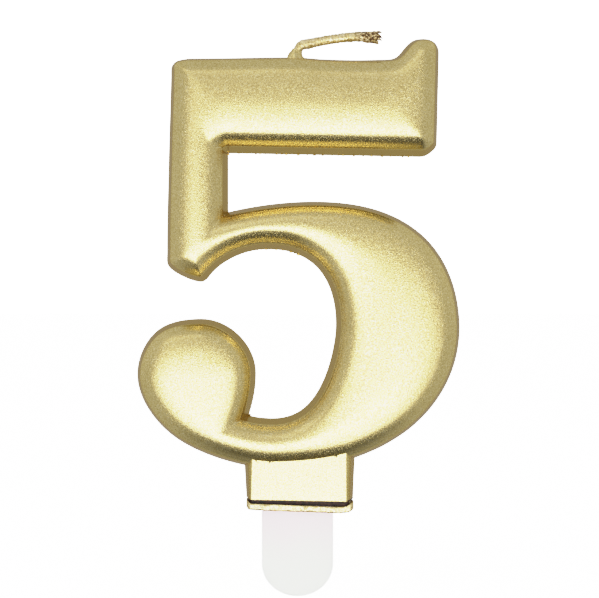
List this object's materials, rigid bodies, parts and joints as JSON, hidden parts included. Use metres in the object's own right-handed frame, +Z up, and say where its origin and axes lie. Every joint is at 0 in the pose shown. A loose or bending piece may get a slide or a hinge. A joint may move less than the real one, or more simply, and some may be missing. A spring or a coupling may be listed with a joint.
{
  "type": "number birthday candle",
  "caption": "Moulded wax figure five with a metallic gold finish, a folded wick at its top edge, and a flat rounded plastic pick under its foot that stands it in a cake.",
  "frame": {"origin": "on the pick's centre line, in the plane of the underside of the foot's closing strip, which is the plane of the cake's top", "axes": "+Z up, along the pick and the figure's height; -Y is the side that the figure is read from; +X is to the right of that reader"},
  "size_m": [0.0608, 0.009, 0.1057],
  "materials": {
    "gold_wax": "satin metallic gold lacquer over wax, fine pearl grain",
    "strip_wax": "metallic gold lacquer over a lumpy poured strip, dark in the groove above it",
    "pick_plastic": "translucent white plastic, smooth",
    "wick_cotton": "braided cotton stiffened with wax, gold lacquer on it, worn off at the opened end"
  },
  "bodies": {
    "pick": {"cake_pick": "pick_plastic"},
    "candle": {"numeral": "gold_wax", "base_strip": "strip_wax", "wick_root": "wick_cotton"},
    "wick": {"wick_tail": "wick_cotton"}
  },
  "joints": [
    {"name": "candle_lift", "type": "slide", "parent": "pick", "child": "candle", "axis": [0, 0, 1], "range_m": [0, 0.0125]},
    {"name": "wick_fold", "type": "hinge", "parent": "candle", "child": "wick", "pos_m": [0.0005, 0, 0.08672], "axis": [0, -1, 0], "range_deg": [-8, 84]}
  ]
}
